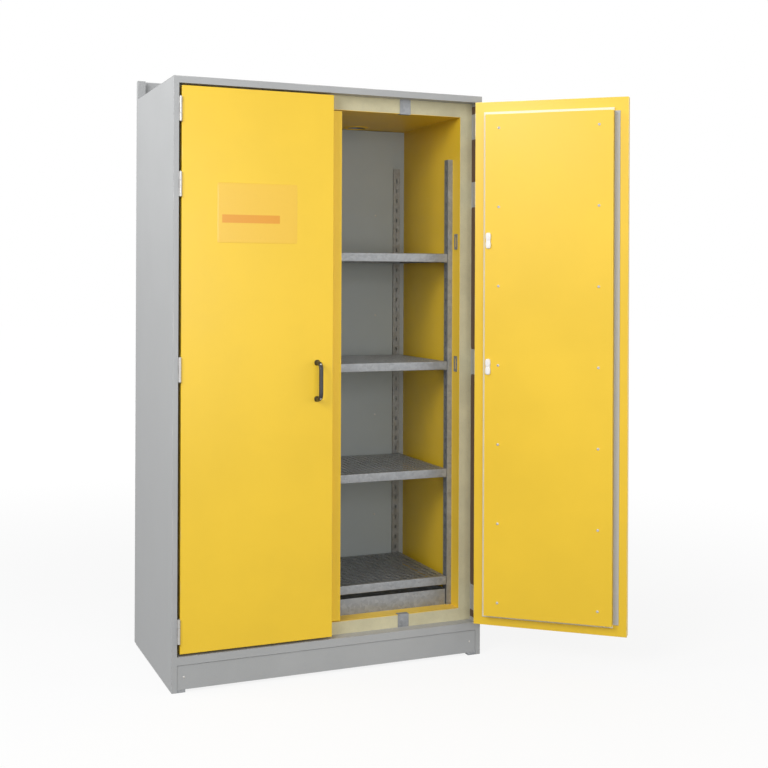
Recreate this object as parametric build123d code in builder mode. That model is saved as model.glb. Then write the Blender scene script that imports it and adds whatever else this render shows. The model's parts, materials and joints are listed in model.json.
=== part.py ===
"""Two-door fire-resistant storage cabinet for batteries, millimetres, +Z up.

The origin is the centre of the front left foot's underside. +X runs along the
front from left to right and +Y runs from the front into the cabinet. The left
door is closed and the right door stands open.
"""
from build123d import *

from math import cos, radians, sin
import os

# Outer casing
cabinet_width = 1090
casing_depth = 562
casing_height = 1950
casing_sheet = 1.5
side_flange = 17
frame_setback = 45
floor_gap = 1
top_rail_height = 22
bottom_rail_height = 26
bottom_rail_lip = 20
plinth_setback = 3
plinth_flange = 18
plinth_joint = 1.5
plinth_rivet_inset = 40
plinth_rivet_radius = 4
plinth_rivet_clearance = 0.05
plinth_rivet_chamfer = 0.5
foot_size = 43.5
foot_height = 9
foot_chamfer = 1.5

# Wall spacer behind the casing
spacer_depth = 25
spacer_lip = 26.5
spacer_rise = 66
spacer_floor_gap = 3

# Storage space and its lining
clear_floor = 156
ceiling_drop = 71
side_wall = 63
back_wall = 30
base_board = 51.8
liner_sheet = 1.2

# Doors
door_bottom = 121
door_top_gap = 7
base_rail_gap = 8
door_sheet = 1.5
door_rim = 36
door_edge_radius = 2
hinge_gap = 9.5
meeting_gap = 3
meeting_offset = -5
inner_box_depth = 30
inner_box_inset = 42
inner_box_clearance = 4
box_seat = 8
lip_length = 43.5
lip_clearance = 4
lip_side_gap = 5.5
right_door_opening = 139.4
gasket_width = 12
gasket_height = 7
seal_strip_width = 18
seal_strip_height = 3
seal_strip_gap = 1
panel_screw_inset = 47
panel_screw_rows = 7
panel_screw_radius = 4.5
panel_screw_height = 2

# Hinges
bottom_hinge_rise = 73
top_hinge_drop = 75
second_hinge_drop = 313
hinge_length = 78
knuckle_radius = 4.5
knuckle_play = 0.3
pin_radius = 2
pin_clearance = 0.05
pin_proud = 4
pin_overhang = 1
leaf_thickness = 2
leaf_depth = 30
leaf_clearance = 0.5

# Bow handles
handle_height = 973
handle_spacing = 120
handle_inset = 56
handle_reach = 44
handle_width = 14
handle_thickness = 10
handle_corner_radius = 3.6
handle_bend = 22
handle_foot_radius = 10
handle_foot_height = 5
handle_cap_radius = 5
handle_cap_height = 2

# Catches on the hinge side
lower_catch_drop = 9
upper_catch_drop = 478
catch_length = 55
catch_width = 18
catch_depth = 9
catch_inset = 3
catch_corner_radius = 6
catch_bridge_width = 9
keeper_thickness = 2
keeper_depth = 24
keeper_slot_width = 8
keeper_slot_length = 36
keeper_setback = 60

# Straps that hold the boards at the opening
strap_width = 40
strap_centre = 816
strap_sheet = 1.5
strap_leg = 18

# Rear duct panel and exhaust
duct_depth = 15
duct_inset = 53
duct_end_gap = 2
duct_rivet_inset = 72
duct_rivet_radius = 4
duct_rivet_height = 1.5
duct_rivet_slots = 4
vent_centre_x = 800
vent_centre_y = 468
spigot_radius = 37.5
spigot_wall = 1.2
spigot_height = 40
vent_ring_width = 9
vent_ring_height = 3
vent_ring_chamfer = 1.5
vent_clearance = 0.3

# Shelves, uprights and spill tray
shelf_top = 258
shelf_pitch_slots = 10
shelf_count = 4
shelf_lip = 30
shelf_sheet = 1.2
shelf_front = 100
shelf_back_gap = 5
shelf_side_gap = 3
slot_columns = 11
slot_rows = 5
slot_length = 62
slot_width = 44
upright_depth = 18
upright_width = 30
upright_sheet = 1.5
upright_top_gap = 144
upright_front = 102
rear_upright_width = 28
rear_upright_gap = 2
upright_slot_pitch = 38.1
upright_slot_height = 14
upright_slot_width = 5
clip_sheet = 2
clip_width = 22
clip_ledge = 12
clip_height = 26
tray_front = 108
tray_height = 55
tray_sheet = 1.5

# Places that follow from the sizes above
left_face = -(casing_sheet + foot_size / 2)
front_face = -(casing_sheet + foot_size / 2)
right_face = left_face + cabinet_width
back_face = front_face + casing_depth
middle_x = (left_face + right_face) / 2
centre_plane = Plane.YZ.offset(middle_x)
frame_face = front_face + frame_setback
clear_left = left_face + side_wall
clear_right = right_face - side_wall
clear_back = back_face - back_wall
clear_top = casing_height - ceiling_drop
clear_height = clear_top - clear_floor
top_sheet_base = casing_height - casing_sheet
rail_bottom = casing_height - top_rail_height
rail_left = left_face + side_flange
rail_right = right_face - side_flange
door_top = rail_bottom - door_top_gap
door_height = door_top - door_bottom
door_middle_z = (door_bottom + door_top) / 2
base_rail_top = door_bottom - base_rail_gap
base_rail_bottom = base_rail_top - bottom_rail_height
board_base = clear_floor - liner_sheet - base_board
duct_front = clear_back - duct_depth
shelf_left = clear_left + upright_depth + shelf_side_gap
shelf_right = clear_right - upright_depth - shelf_side_gap
shelf_back = duct_front - shelf_back_gap
shelf_pitch = shelf_pitch_slots * upright_slot_pitch
shelf_tops = [shelf_top + shelf_pitch * level for level in range(shelf_count)]
vent = (left_face + vent_centre_x, front_face + vent_centre_y)
vent_bore = spigot_radius + vent_clearance
upright_top = clear_top - upright_top_gap
hinge_heights = (
    door_bottom + bottom_hinge_rise,
    door_middle_z,
    door_top - second_hinge_drop,
    door_top - top_hinge_drop,
)
catch_heights = (door_middle_z - lower_catch_drop, door_top - upper_catch_drop)

os.makedirs("parts", exist_ok=True)


def save(piece, name):
    """Label a finished piece and write it to its own file."""
    piece.part.label = name
    export_step(piece.part, f"parts/{name}.step")


def board(x, y, z):
    """A flat board or sheet between a low and a high coordinate on each axis."""
    with BuildPart() as slab:
        with BuildSketch(Plane.XY.offset(z[0])):
            with Locations(((x[0] + x[1]) / 2, (y[0] + y[1]) / 2)):
                Rectangle(x[1] - x[0], y[1] - y[0])
        extrude(amount=z[1] - z[0])
    return slab


def folded(plane, path, thickness, length):
    """Sheet metal folded along a path, lying to its left, drawn out from a plane."""
    with BuildPart() as sheet:
        with BuildSketch(plane):
            with BuildLine():
                Polyline(*path)
                offset(amount=thickness, side=Side.LEFT, kind=Kind.INTERSECTION)
            make_face()
        extrude(amount=length)
    return sheet


def mirrored(piece):
    """The same piece on the other side of the cabinet."""
    with BuildPart() as twin:
        mirror(piece.part, about=centre_plane)
    return twin


def both_sides(piece):
    """A piece and its twin as one group of separate solids."""
    with BuildPart() as pair:
        add(piece.part)
        mirror(piece.part, about=centre_plane)
    return pair


# ---------------------------------------------------------------- casing

side_path = [
    (left_face, back_face),
    (left_face, front_face),
    (rail_left, front_face),
    (rail_left, frame_face),
]
with BuildPart() as side_panel:
    add(folded(Plane.XY.offset(floor_gap), side_path, casing_sheet, top_sheet_base - floor_gap).part)
    # The fold inside the flange is cut away over the foot.
    with BuildSketch(Plane.XY.offset(floor_gap)):
        with Locations((rail_left, frame_face)):
            Rectangle(2 * casing_sheet, 2 * (frame_setback - casing_sheet))
    extrude(amount=foot_height - floor_gap, mode=Mode.SUBTRACT)
save(side_panel, "side_panel_left")
save(mirrored(side_panel), "side_panel_right")

with BuildPart() as top_panel:
    with BuildSketch(Plane.XY.offset(top_sheet_base)):
        with Locations((middle_x, (front_face + back_face) / 2)):
            Rectangle(cabinet_width, casing_depth)
        with Locations(vent):
            Circle(vent_bore, mode=Mode.SUBTRACT)
    extrude(amount=casing_sheet)
    with BuildSketch(Plane.YZ.offset(rail_left)):
        with BuildLine():
            Polyline(
                (front_face, top_sheet_base),
                (front_face, rail_bottom),
                (frame_face, rail_bottom),
            )
            offset(amount=casing_sheet, side=Side.LEFT, kind=Kind.INTERSECTION)
        make_face()
    extrude(amount=rail_right - rail_left)
save(top_panel, "top_panel")

back_panel = board(
    (left_face + casing_sheet, right_face - casing_sheet),
    (back_face - casing_sheet, back_face),
    (floor_gap, top_sheet_base),
)
save(back_panel, "back_panel")

bottom_rail_path = [
    (frame_face, base_rail_top),
    (front_face, base_rail_top),
    (front_face, base_rail_bottom),
    (front_face + bottom_rail_lip, base_rail_bottom),
]
rail_length = rail_right - rail_left
bottom_rail = folded(Plane.YZ.offset(rail_left), bottom_rail_path, casing_sheet, rail_length)
save(bottom_rail, "bottom_rail")

plinth_face = front_face + plinth_setback
plinth_top = base_rail_bottom - plinth_joint
plinth_path = [
    (plinth_face + plinth_flange, plinth_top),
    (plinth_face, plinth_top),
    (plinth_face, foot_height),
    (plinth_face + plinth_flange, foot_height),
]
plinth_rivet_height = (foot_height + plinth_top) / 2
rivet_spacing = cabinet_width - 2 * plinth_rivet_inset
with BuildPart() as plinth_panel:
    add(folded(Plane.YZ.offset(rail_left), plinth_path, casing_sheet, rail_length).part)
    with BuildSketch(Plane.XZ.offset(-plinth_face)):
        with Locations((middle_x, plinth_rivet_height)):
            with GridLocations(rivet_spacing, 1, 2, 1):
                Circle(plinth_rivet_radius + plinth_rivet_clearance)
    extrude(amount=-casing_sheet, mode=Mode.SUBTRACT)
save(plinth_panel, "plinth_panel")

with BuildPart() as plinth_rivets:
    with BuildSketch(Plane.XZ.offset(-plinth_face)):
        with Locations((middle_x, plinth_rivet_height)):
            with GridLocations(rivet_spacing, 1, 2, 1):
                Circle(plinth_rivet_radius)
    extrude(amount=-casing_sheet)
    chamfer(plinth_rivets.faces().sort_by(Axis.Y)[:2].edges(), plinth_rivet_chamfer)
save(plinth_rivets, "plinth_rivets")

foot_reach_x = cabinet_width - 2 * casing_sheet - foot_size
foot_reach_y = casing_depth - 2 * casing_sheet - foot_size
with BuildPart() as feet:
    with BuildSketch(Plane.XY):
        with Locations((foot_reach_x / 2, foot_reach_y / 2)):
            with GridLocations(foot_reach_x, foot_reach_y, 2, 2):
                Rectangle(foot_size, foot_size)
    extrude(amount=foot_height)
    chamfer(feet.edges().filter_by(Axis.Z), foot_chamfer)
save(feet, "feet")

base_pan = board(
    (left_face + casing_sheet, right_face - casing_sheet),
    (frame_face, back_face - casing_sheet),
    (board_base - casing_sheet, board_base),
)
save(base_pan, "base_pan")

spacer_back = back_face + spacer_depth
spacer_path = [
    (right_face - spacer_lip, back_face),
    (right_face, back_face),
    (right_face, spacer_back),
    (left_face, spacer_back),
    (left_face, back_face),
    (left_face + spacer_lip, back_face),
]
spacer_height = casing_height + spacer_rise - spacer_floor_gap
rear_spacer = folded(Plane.XY.offset(spacer_floor_gap), spacer_path, casing_sheet, spacer_height)
save(rear_spacer, "rear_spacer")

# ---------------------------------------------------------------- insulation and lining

board_left = clear_left - liner_sheet
board_right = clear_right + liner_sheet
board_front_back = (frame_face, back_face - casing_sheet)
between_sides = (board_left, board_right)

side_board = board((left_face + casing_sheet, board_left), board_front_back, (board_base, top_sheet_base))
save(side_board, "insulation_left")
save(mirrored(side_board), "insulation_right")

base_insulation = board(between_sides, board_front_back, (board_base, clear_floor - liner_sheet))
save(base_insulation, "insulation_floor")

with BuildPart() as top_insulation:
    with BuildSketch(Plane.XY.offset(clear_top + liner_sheet)):
        with Locations((middle_x, (frame_face + back_face - casing_sheet) / 2)):
            Rectangle(board_right - board_left, back_face - casing_sheet - frame_face)
        with Locations(vent):
            Circle(vent_bore, mode=Mode.SUBTRACT)
    extrude(amount=top_sheet_base - clear_top - liner_sheet)
save(top_insulation, "insulation_top")

back_insulation = board(
    between_sides,
    (clear_back + liner_sheet, back_face - casing_sheet),
    (clear_floor - liner_sheet, clear_top + liner_sheet),
)
save(back_insulation, "insulation_back")

side_liner = board((board_left, clear_left), (frame_face, clear_back), (clear_floor, clear_top))
save(side_liner, "liner_left")
save(mirrored(side_liner), "liner_right")

floor_liner = board(between_sides, (frame_face, clear_back), (clear_floor - liner_sheet, clear_floor))
save(floor_liner, "liner_floor")

with BuildPart() as ceiling_liner:
    with BuildSketch(Plane.XY.offset(clear_top)):
        with Locations((middle_x, (frame_face + clear_back) / 2)):
            Rectangle(board_right - board_left, clear_back - frame_face)
        with Locations(vent):
            Circle(vent_bore, mode=Mode.SUBTRACT)
    extrude(amount=liner_sheet)
save(ceiling_liner, "liner_ceiling")

back_liner = board(
    between_sides,
    (clear_back, clear_back + liner_sheet),
    (clear_floor - liner_sheet, clear_top + liner_sheet),
)
save(back_liner, "liner_back")

duct_path = [
    (clear_left + duct_inset, clear_back),
    (clear_left + duct_inset, duct_front),
    (clear_right - duct_inset, duct_front),
    (clear_right - duct_inset, clear_back),
]
duct_panel = folded(
    Plane.XY.offset(clear_floor),
    duct_path,
    liner_sheet,
    clear_height - duct_end_gap,
)
save(duct_panel, "duct_panel")

duct_rivet_x = (clear_right - clear_left) / 2 - duct_inset - duct_rivet_inset
duct_rivet_rise = duct_rivet_slots * upright_slot_pitch
duct_rivet_z = (shelf_tops[0] + shelf_tops[-1]) / 2 + duct_rivet_rise
with BuildPart() as duct_rivets:
    with BuildSketch(Plane.XZ.offset(-duct_front)):
        with Locations((middle_x, duct_rivet_z)):
            with GridLocations(2 * duct_rivet_x, shelf_pitch, 2, shelf_count):
                Circle(duct_rivet_radius)
    extrude(amount=duct_rivet_height)
save(duct_rivets, "duct_rivets")

with BuildPart() as exhaust_spigot:
    with BuildSketch(Plane.XY.offset(clear_top)):
        with Locations(vent):
            Circle(spigot_radius)
            Circle(spigot_radius - spigot_wall, mode=Mode.SUBTRACT)
    extrude(amount=casing_height + spigot_height - clear_top)
    with BuildSketch(Plane.XY.offset(casing_height)):
        with Locations(vent):
            Circle(spigot_radius + vent_ring_width)
            Circle(spigot_radius - spigot_wall, mode=Mode.SUBTRACT)
    extrude(amount=spigot_wall)
save(exhaust_spigot, "exhaust_spigot")

with BuildPart() as vent_ring:
    with BuildSketch(Plane.XY.offset(clear_top)):
        with Locations(vent):
            Circle(spigot_radius + vent_ring_width)
            Circle(spigot_radius - spigot_wall, mode=Mode.SUBTRACT)
    extrude(amount=-vent_ring_height)
    chamfer(vent_ring.edges().group_by(Axis.Z)[0].sort_by(SortBy.RADIUS)[-1], vent_ring_chamfer)
save(vent_ring, "vent_ring")

# Each strap lies on the board edge and turns into the storage space.
strap_x = left_face + strap_centre - strap_width / 2
with BuildPart() as straps:
    with BuildSketch(Plane.YZ.offset(strap_x)):
        with BuildLine():
            Polyline(
                (frame_face, rail_bottom),
                (frame_face, clear_top),
                (frame_face + strap_leg, clear_top),
            )
            offset(amount=strap_sheet, side=Side.RIGHT, kind=Kind.INTERSECTION)
        make_face()
        with BuildLine():
            Polyline(
                (frame_face, base_rail_top),
                (frame_face, clear_floor),
                (frame_face + strap_leg, clear_floor),
            )
            offset(amount=strap_sheet, side=Side.LEFT, kind=Kind.INTERSECTION)
        make_face()
    extrude(amount=strap_width)
save(both_sides(straps), "board_straps")

# ---------------------------------------------------------------- uprights, shelves, tray

upright_height = upright_top - clear_floor
slot_count = int((upright_height - upright_slot_pitch) / upright_slot_pitch)
slot_middle = clear_floor + upright_height / 2
front_upright_path = [
    (clear_left, front_face + upright_front),
    (clear_left + upright_depth, front_face + upright_front),
    (clear_left + upright_depth, front_face + upright_front + upright_width),
    (clear_left, front_face + upright_front + upright_width),
]
with BuildPart() as front_upright:
    add(folded(Plane.XY.offset(clear_floor), front_upright_path, upright_sheet, upright_height).part)
    with BuildSketch(Plane.YZ.offset(clear_left + upright_depth)):
        with Locations((front_face + upright_front + upright_width / 2, slot_middle)):
            with GridLocations(1, upright_slot_pitch, 1, slot_count):
                Rectangle(upright_slot_width, upright_slot_height)
    extrude(amount=-upright_sheet, mode=Mode.SUBTRACT)
save(front_upright, "upright_front_left")
save(mirrored(front_upright), "upright_front_right")

rear_upright_left = clear_left + duct_inset - rear_upright_gap - rear_upright_width
rear_upright_path = [
    (rear_upright_left, clear_back),
    (rear_upright_left, duct_front),
    (rear_upright_left + rear_upright_width, duct_front),
    (rear_upright_left + rear_upright_width, clear_back),
]
with BuildPart() as rear_upright:
    add(folded(Plane.XY.offset(clear_floor), rear_upright_path, upright_sheet, upright_height).part)
    with BuildSketch(Plane.XZ.offset(-duct_front)):
        with Locations((rear_upright_left + rear_upright_width / 2, slot_middle)):
            with GridLocations(1, upright_slot_pitch, 1, slot_count):
                Rectangle(upright_slot_width, upright_slot_height)
    extrude(amount=-upright_sheet, mode=Mode.SUBTRACT)
save(rear_upright, "upright_rear_left")
save(mirrored(rear_upright), "upright_rear_right")

shelf_middle = ((shelf_left + shelf_right) / 2, (front_face + shelf_front + shelf_back) / 2)
shelf_size = (shelf_right - shelf_left, shelf_back - front_face - shelf_front)
slot_pitch_x = shelf_size[0] / (slot_columns + 0.5)
slot_pitch_y = shelf_size[1] / (slot_rows + 0.5)


def shelf(top):
    """A galvanised shelf folded down on all four sides, its deck pierced all over."""
    with BuildPart() as deck:
        with BuildSketch(Plane.XY.offset(top)):
            with Locations(shelf_middle):
                Rectangle(*shelf_size)
        extrude(amount=-shelf_lip)
        offset(amount=-shelf_sheet, openings=deck.faces().sort_by(Axis.Z)[0], kind=Kind.INTERSECTION)
        with BuildSketch(Plane.XY.offset(top)):
            with Locations(shelf_middle):
                with GridLocations(slot_pitch_x, slot_pitch_y, slot_columns, slot_rows):
                    Rectangle(slot_length, slot_width)
        extrude(amount=-shelf_sheet, mode=Mode.SUBTRACT)
    return deck


# Hooked clips, one on each upright for every shelf, with a ledge under the shelf's lip.
front_clip_y = front_face + upright_front + (upright_width - clip_width) / 2
rear_clip_x = rear_upright_left + (rear_upright_width - clip_width) / 2
web = clear_left + upright_depth
with BuildPart() as clips:
    for top in shelf_tops:
        ledge = top - shelf_lip
        with BuildSketch(Plane.XZ.offset(-front_clip_y)):
            with BuildLine():
                Polyline(
                    (web, ledge + clip_height),
                    (web, ledge - clip_sheet),
                    (web + clip_ledge, ledge - clip_sheet),
                )
                offset(amount=clip_sheet, side=Side.LEFT, kind=Kind.INTERSECTION)
            make_face()
        extrude(amount=-clip_width)
        with BuildSketch(Plane.YZ.offset(rear_clip_x)):
            with BuildLine():
                Polyline(
                    (duct_front, ledge + clip_height),
                    (duct_front, ledge - clip_sheet),
                    (duct_front - clip_ledge, ledge - clip_sheet),
                )
                offset(amount=clip_sheet, side=Side.RIGHT, kind=Kind.INTERSECTION)
            make_face()
        extrude(amount=clip_width)
save(both_sides(clips), "shelf_clips")

for level, height in enumerate(shelf_tops):
    save(shelf(height), f"shelf_{level + 1}")

# The tray's floor and walls are flat sheets seated edge to edge, each a solid of its own.
tray_x = (shelf_left, shelf_right)
tray_y = (front_face + tray_front, shelf_back)
tray_inside_x = (tray_x[0] + tray_sheet, tray_x[1] - tray_sheet)
tray_inside_y = (tray_y[0] + tray_sheet, tray_y[1] - tray_sheet)
tray_floor = (clear_floor, clear_floor + tray_sheet)
tray_wall = (clear_floor + tray_sheet, clear_floor + tray_height)
tray_sheets = [
    board(tray_x, tray_y, tray_floor),
    board(tray_x, (tray_y[0], tray_inside_y[0]), tray_wall),
    board(tray_x, (tray_inside_y[1], tray_y[1]), tray_wall),
    board((tray_x[0], tray_inside_x[0]), tray_inside_y, tray_wall),
    board((tray_inside_x[1], tray_x[1]), tray_inside_y, tray_wall),
]
spill_tray = Compound([sheet.part.solid() for sheet in tray_sheets], label="spill_tray")
export_step(spill_tray, "parts/spill_tray.step")

# ---------------------------------------------------------------- catch keepers on the liner

keeper_y = front_face + keeper_setback + keeper_depth / 2
with BuildPart() as keepers:
    with BuildSketch(Plane.YZ.offset(clear_left)):
        for height in catch_heights:
            with Locations((keeper_y, height)):
                RectangleRounded(keeper_depth, catch_length, keeper_slot_width / 2)
                Rectangle(keeper_slot_width, keeper_slot_length, mode=Mode.SUBTRACT)
    extrude(amount=keeper_thickness)
save(both_sides(keepers), "catch_keepers")

# ---------------------------------------------------------------- hinges

knuckle_length = hinge_length / 3
hinge_inset = side_flange + hinge_gap / 2
skin_edge = hinge_gap / 2
leaf_start = knuckle_radius + pin_clearance + leaf_clearance
leaf_end = pin_proud + leaf_depth


def hinge_leaf(plane_at, inward, leaf_side, knuckles):
    """Leaf plates with their knuckles, in plan coordinates about the hinge axis.

    leaf_side is the sign of x for the leaf and knuckles the thirds it holds.
    """
    outer = leaf_side * skin_edge
    inner = outer - leaf_side * leaf_thickness
    with BuildPart() as leaves:
        for height in hinge_heights:
            base = height - hinge_length / 2
            with BuildSketch(plane_at(base)):
                with Locations(((outer + inner) / 2, inward * (leaf_start + leaf_end) / 2)):
                    Rectangle(leaf_thickness, leaf_end - leaf_start)
            extrude(amount=hinge_length)
            for third in knuckles:
                with BuildSketch(plane_at(base + third * knuckle_length + knuckle_play)):
                    with Locations(((outer + inner) / 2, inward * leaf_start / 2)):
                        Rectangle(leaf_thickness, leaf_start)
                    Circle(knuckle_radius)
                    Circle(pin_radius + pin_clearance, mode=Mode.SUBTRACT)
                extrude(amount=knuckle_length - 2 * knuckle_play)
    return leaves


def hinge_pins(plane_at):
    """One headed pin down each hinge."""
    with BuildPart() as pins:
        for height in hinge_heights:
            with BuildSketch(plane_at(height - hinge_length / 2 - pin_overhang)):
                Circle(pin_radius)
            extrude(amount=hinge_length + pin_overhang)
            with BuildSketch(plane_at(height + hinge_length / 2)):
                Circle(knuckle_radius - pin_overhang)
            extrude(amount=pin_overhang)
    return pins


# ---------------------------------------------------------------- doors

meeting_x = middle_x + meeting_offset
left_axis = (left_face + hinge_inset, front_face - pin_proud)
right_axis = (right_face - hinge_inset, front_face - pin_proud)
left_free_edge = meeting_x - meeting_gap / 2 - left_axis[0]
right_free_edge = right_axis[0] - meeting_x - meeting_gap / 2
left_box_end = left_free_edge + lip_length
right_box_end = right_axis[0] - left_axis[0] - left_box_end - lip_side_gap
box_back = pin_proud + door_rim
box_face = box_back + inner_box_depth
box_bottom = clear_floor + inner_box_clearance
box_top = clear_top - inner_box_clearance
box_start = skin_edge + inner_box_inset
box_middle_z = (box_bottom + box_top) / 2
box_height = box_top - box_bottom


def door(side, axis, closed_direction, opening, inward, free_edge, box_end):
    """All pieces of one door, in plan coordinates about its hinge axis.

    x runs from the hinge axis to the free edge and y, times inward, into the
    cabinet; the whole door is turned open about the axis by its opening angle.
    """
    turn = radians(closed_direction + opening)
    toward_free = (cos(turn), sin(turn), 0)
    toward_back = (-inward * sin(turn), inward * cos(turn), 0)

    def plane_at(z):
        return Plane(origin=(axis[0], axis[1], z), x_dir=toward_free, z_dir=(0, 0, 1))

    def face_plane(depth):
        """A plane parallel to the door, x to the free edge and y up."""
        origin = (axis[0] + depth * toward_back[0], axis[1] + depth * toward_back[1], 0)
        outward_or_in = (toward_free[1], -toward_free[0], 0)
        return Plane(origin=origin, x_dir=toward_free, z_dir=outward_or_in)

    depth_axis = Axis((axis[0], axis[1], 0), toward_back)
    into = -inward
    skin_width = free_edge - skin_edge
    skin_middle = (skin_edge + free_edge) / 2
    rim_end = min(free_edge, box_end)
    seat_middle = (box_start + rim_end) / 2
    seat_size = (rim_end - box_start - 2 * box_seat, box_height - 2 * box_seat)

    with BuildPart() as skin:
        with BuildSketch(face_plane(pin_proud)):
            with Locations((skin_middle, door_middle_z)):
                Rectangle(skin_width, door_height)
        extrude(amount=into * door_rim)
        fillet(skin.faces().sort_by(depth_axis)[0].edges(), door_edge_radius)
        with BuildSketch(face_plane(pin_proud + door_sheet)):
            with Locations((skin_middle, door_middle_z)):
                Rectangle(skin_width - 2 * door_sheet, door_height - 2 * door_sheet)
        extrude(amount=into * door_rim, mode=Mode.SUBTRACT)
        # The rim folds inwards at the back and carries the inner box.
        with BuildSketch(face_plane(box_back)):
            with Locations((skin_middle, door_middle_z)):
                Rectangle(skin_width, door_height)
            with Locations((seat_middle, box_middle_z)):
                Rectangle(*seat_size, mode=Mode.SUBTRACT)
        extrude(amount=-into * door_sheet)
    save(skin, f"door_skin_{side}")

    def box_outline(wall):
        """The inner box in plan, or the space inside it for a wall thickness."""
        corners = [(box_start + wall, box_back), (box_start + wall, box_face - wall)]
        corners += [(box_end - wall, box_face - wall)]
        if box_end > free_edge:
            corners += [(box_end - wall, box_back + lip_clearance + wall)]
            corners += [(free_edge - wall, box_back + lip_clearance + wall)]
        corners += [(rim_end - wall, box_back)]
        return [(x, inward * depth) for x, depth in corners]

    with BuildPart() as inner_box:
        with BuildSketch(plane_at(box_bottom)):
            with BuildLine():
                Polyline(*box_outline(0), close=True)
            make_face()
        extrude(amount=box_height)
        with BuildSketch(plane_at(box_bottom + door_sheet)):
            with BuildLine():
                Polyline(*box_outline(door_sheet), close=True)
            make_face()
        extrude(amount=box_height - 2 * door_sheet, mode=Mode.SUBTRACT)
    save(inner_box, f"door_inner_box_{side}")

    core_margin = door_sheet + door_edge_radius
    with BuildPart() as core:
        with BuildSketch(face_plane(pin_proud + door_sheet)):
            with Locations((skin_middle, door_middle_z)):
                Rectangle(skin_width - 2 * core_margin, door_height - 2 * core_margin)
        extrude(amount=into * (door_rim - 2 * door_sheet))
        with BuildSketch(face_plane(box_back - door_sheet)):
            with Locations((seat_middle, box_middle_z)):
                Rectangle(*seat_size)
        extrude(amount=into * door_sheet)
        with BuildSketch(plane_at(box_bottom + door_sheet)):
            with BuildLine():
                Polyline(*box_outline(door_sheet), close=True)
            make_face()
        extrude(amount=box_height - 2 * door_sheet)
    save(core, f"door_core_{side}")

    with BuildPart() as gasket:
        with BuildSketch(face_plane(box_back)):
            with Locations(((box_start - gasket_width + rim_end) / 2, box_middle_z)):
                Rectangle(rim_end - box_start + gasket_width, box_height + 2 * gasket_width)
            with Locations(((box_start + rim_end) / 2, box_middle_z)):
                Rectangle(rim_end - box_start, box_height, mode=Mode.SUBTRACT)
        extrude(amount=into * gasket_height)
    save(gasket, f"door_gasket_{side}")

    screw_columns = rim_end - box_start - 2 * panel_screw_inset
    screw_pitch = (box_height - 2 * panel_screw_inset) / (panel_screw_rows - 1)
    with BuildPart() as screws:
        with BuildSketch(face_plane(box_face)):
            with Locations((box_start + panel_screw_inset + screw_columns / 2, box_middle_z)):
                with GridLocations(screw_columns, screw_pitch, 2, panel_screw_rows):
                    Circle(panel_screw_radius)
        extrude(amount=into * panel_screw_height)
    save(screws, f"door_screws_{side}")

    with BuildPart() as catches:
        with BuildSketch(face_plane(box_face)):
            for height in catch_heights:
                with Locations((box_start + catch_inset + catch_width / 2, height)):
                    with GridLocations(1, catch_length / 2, 1, 2):
                        RectangleRounded(catch_width, catch_length / 2, catch_corner_radius)
                    Rectangle(catch_bridge_width, catch_length / 2)
        extrude(amount=into * catch_depth)
    save(catches, f"door_catches_{side}")

    handle_x = free_edge - handle_inset
    grip_plane = Plane(
        origin=(axis[0] + handle_x * toward_free[0], axis[1] + handle_x * toward_free[1], handle_height),
        x_dir=(-toward_back[0], -toward_back[1], 0),
        z_dir=(inward * toward_free[0], inward * toward_free[1], 0),
    )
    foot_start = -pin_proud
    bow_top = handle_reach - pin_proud - handle_thickness / 2
    half_span = handle_spacing / 2
    with BuildPart() as handle:
        with BuildLine(grip_plane) as bow:
            FilletPolyline(
                (foot_start, -half_span),
                (bow_top, -half_span),
                (bow_top, half_span),
                (foot_start, half_span),
                radius=handle_bend,
            )
        with BuildSketch(Plane(origin=bow.line @ 0, z_dir=bow.line % 0, x_dir=toward_free)):
            RectangleRounded(handle_width, handle_thickness, handle_corner_radius)
        sweep()
        with BuildSketch(face_plane(pin_proud)):
            with Locations((handle_x, handle_height)):
                with GridLocations(1, handle_spacing, 1, 2):
                    Circle(handle_foot_radius)
        extrude(amount=-into * handle_foot_height)
    save(handle, f"handle_{side}")

    with BuildPart() as caps:
        with BuildSketch(face_plane(pin_proud - handle_reach)):
            with Locations((handle_x, handle_height)):
                with GridLocations(1, handle_spacing - 2 * handle_bend, 1, 2):
                    Circle(handle_cap_radius)
        extrude(amount=-into * handle_cap_height)
    save(caps, f"handle_caps_{side}")

    save(hinge_leaf(plane_at, inward, 1, (1,)), f"door_hinge_leaves_{side}")


def frame_hinges(side, axis, direction, inward):
    """The fixed leaves and the pins, which stay on the casing."""
    turn = radians(direction)

    def plane_at(z):
        return Plane(origin=(axis[0], axis[1], z), x_dir=(cos(turn), sin(turn), 0), z_dir=(0, 0, 1))

    save(hinge_leaf(plane_at, inward, -1, (0, 2)), f"frame_hinge_leaves_{side}")
    save(hinge_pins(plane_at), f"hinge_pins_{side}")


door("left", left_axis, 0, 0, 1, left_free_edge, left_box_end)
door("right", right_axis, 180, right_door_opening, -1, right_free_edge, right_box_end)
frame_hinges("left", left_axis, 0, 1)
frame_hinges("right", right_axis, 180, -1)

# The strip on the right door's rim swells in a fire and closes the joint between the doors.
open_turn = radians(180 + right_door_opening)
strip_plane = Plane(
    origin=(
        right_axis[0] + box_back * sin(open_turn),
        right_axis[1] - box_back * cos(open_turn),
        0,
    ),
    x_dir=(cos(open_turn), sin(open_turn), 0),
    z_dir=(sin(open_turn), -cos(open_turn), 0),
)
with BuildPart() as seal_strip:
    with BuildSketch(strip_plane):
        with Locations((right_box_end + seal_strip_gap + seal_strip_width / 2, box_middle_z)):
            Rectangle(seal_strip_width, box_height)
    extrude(amount=seal_strip_height)
save(seal_strip, "door_seal_strip")
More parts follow.
